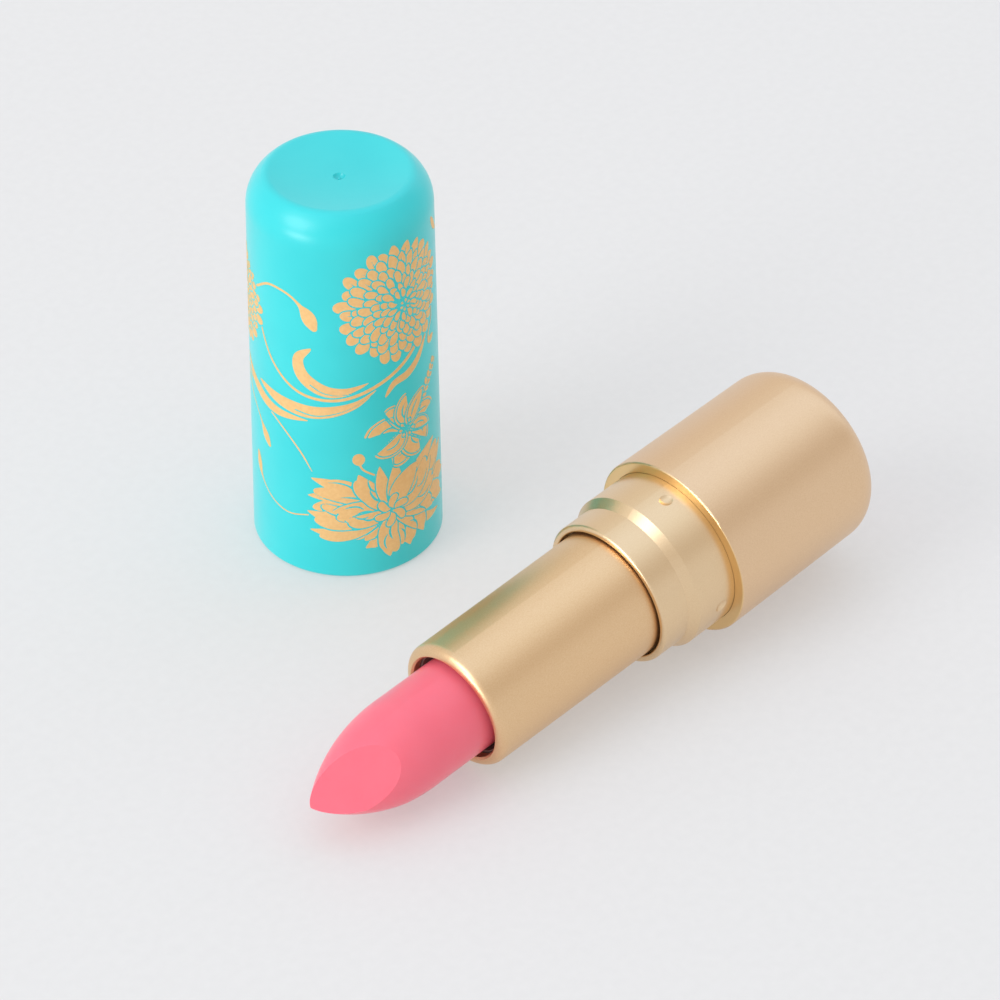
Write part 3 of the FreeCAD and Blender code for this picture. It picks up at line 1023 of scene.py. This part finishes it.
# The tent's light round the long axis of the case: lean from straight up towards +Y in degrees,
# and half the light that comes from there. The roof is a wide pale panel.
ROOM = ((-120, (0.50, 0.50, 0.50)), (-90, (0.50, 0.505, 0.52)), (-70, (0.50, 0.50, 0.51)),
        (-56, (0.42, 0.40, 0.38)), (-44, (0.42, 0.40, 0.38)), (-30, (0.51, 0.51, 0.52)),
        (-12, (0.62, 0.67, 0.73)), (8, (0.64, 0.70, 0.80)), (28, (0.61, 0.66, 0.73)),
        (44, (0.53, 0.52, 0.50)), (66, (0.51, 0.495, 0.485)), (88, (0.52, 0.53, 0.57)),
        (120, (0.50, 0.50, 0.50)))


@dataclass
class Studio:
    """Floor, soft lights and camera."""

    floor_half: float = 3.0
    key_from: tuple[float, float, float] = (-0.835, 0.150, 0.530)
    key_size: tuple[float, float] = (0.85, 0.85)
    key_power: float = 6.4
    card_from: tuple[float, float, float] = (-0.998, 0.035, 0.05)
    card_size: tuple[float, float] = (0.75, 0.16)
    card_power: float = 4.2
    light_distance: float = 1.5
    room_strength: float = 0.82
    aim: tuple[float, float, float] = (16.37, -10.58, 0.0)
    eye: tuple[float, float, float] = (-283.5, -319.0, 335.8)
    lens: float = 154.8
    sensor: float = 36.0
    clip: tuple[float, float] = (0.01, 20.0)

    def build(self) -> None:
        """Build the whole set."""
        self.lay_floor()
        self.light()
        self.stand_camera()

    def lay_floor(self) -> None:
        """Lay one wide sheet at z = 0."""
        half = self.floor_half
        mesh = bpy.data.meshes.new("floor")
        mesh.from_pydata([(-half, -half, 0), (half, -half, 0), (half, half, 0), (-half, half, 0)],
                         [], [(0, 1, 2, 3)])
        mesh.materials.append(StudioPaper().material())
        floor = bpy.data.objects.new("floor", mesh)
        bpy.context.scene.collection.objects.link(floor)

    def light(self) -> None:
        """Put a pale room all round, a large soft key to the left and a low card beside it."""
        world = bpy.data.worlds.new("room")
        bpy.context.scene.world = world
        world.use_nodes = True
        tree = world.node_tree
        tree.nodes.clear()
        way = add(tree, "ShaderNodeSeparateXYZ", {0: add(tree, "ShaderNodeTexCoord").outputs["Generated"]})
        lean = add(tree, "ShaderNodeMath", {0: way.outputs["Y"], 1: way.outputs["Z"]}, operation="ARCTAN2")
        share = add(tree, "ShaderNodeMapRange", {
            "Value": lean, "From Min": -math.pi, "From Max": math.pi})
        tent = add(tree, "ShaderNodeValToRGB", {"Fac": share}, [
            (0.5 + degrees / 360, (*colour, 1.0)) for degrees, colour in ROOM])
        sky = add(tree, "ShaderNodeBackground", {"Color": tent, "Strength": 2 * self.room_strength})
        add(tree, "ShaderNodeOutputWorld", {"Surface": sky})
        self.hang("key", self.key_from, self.key_size, self.key_power)
        self.hang("card", self.card_from, self.card_size, self.card_power)

    def hang(self, name: str, way: tuple[float, float, float], size: tuple[float, float],
             power: float) -> None:
        """Hang one oval soft light that faces the object.

        Args:
            name: The light's name.
            way: Direction from the object to the light.
            size: Its width and height in metres.
            power: Its power in watts.
        """
        aim = Vector(self.aim) * MM
        spot = aim + Vector(way).normalized() * self.light_distance
        lamp = bpy.data.lights.new(name, "AREA")
        lamp.shape, lamp.size, lamp.size_y, lamp.energy = "ELLIPSE", *size, power
        light = bpy.data.objects.new(name, lamp)
        light.location = spot
        light.rotation_euler = (aim - spot).to_track_quat("-Z", "Y").to_euler()
        bpy.context.scene.collection.objects.link(light)

    def stand_camera(self) -> None:
        """Stand a long lens so that it looks down on the two halves of the object."""
        data = bpy.data.cameras.new("camera")
        data.lens, data.sensor_width = self.lens, self.sensor
        data.clip_start, data.clip_end = self.clip
        camera = bpy.data.objects.new("camera", data)
        camera.location = Vector(self.eye) * MM
        look = (Vector(self.aim) - Vector(self.eye)) * MM
        camera.rotation_euler = look.to_track_quat("-Z", "Y").to_euler()
        bpy.context.scene.collection.objects.link(camera)
        bpy.context.scene.camera = camera
        bpy.context.scene.view_settings.view_transform = "Standard"


def main() -> None:
    """Build the set, then each sub-assembly in order."""
    logging.basicConfig(level=logging.INFO, format="%(message)s")
    Studio().build()
    for part in (Base(), Collar(), TurningTube(), ColourStick(), Cap()):
        part.build()


if __name__ == "__main__":
    main()
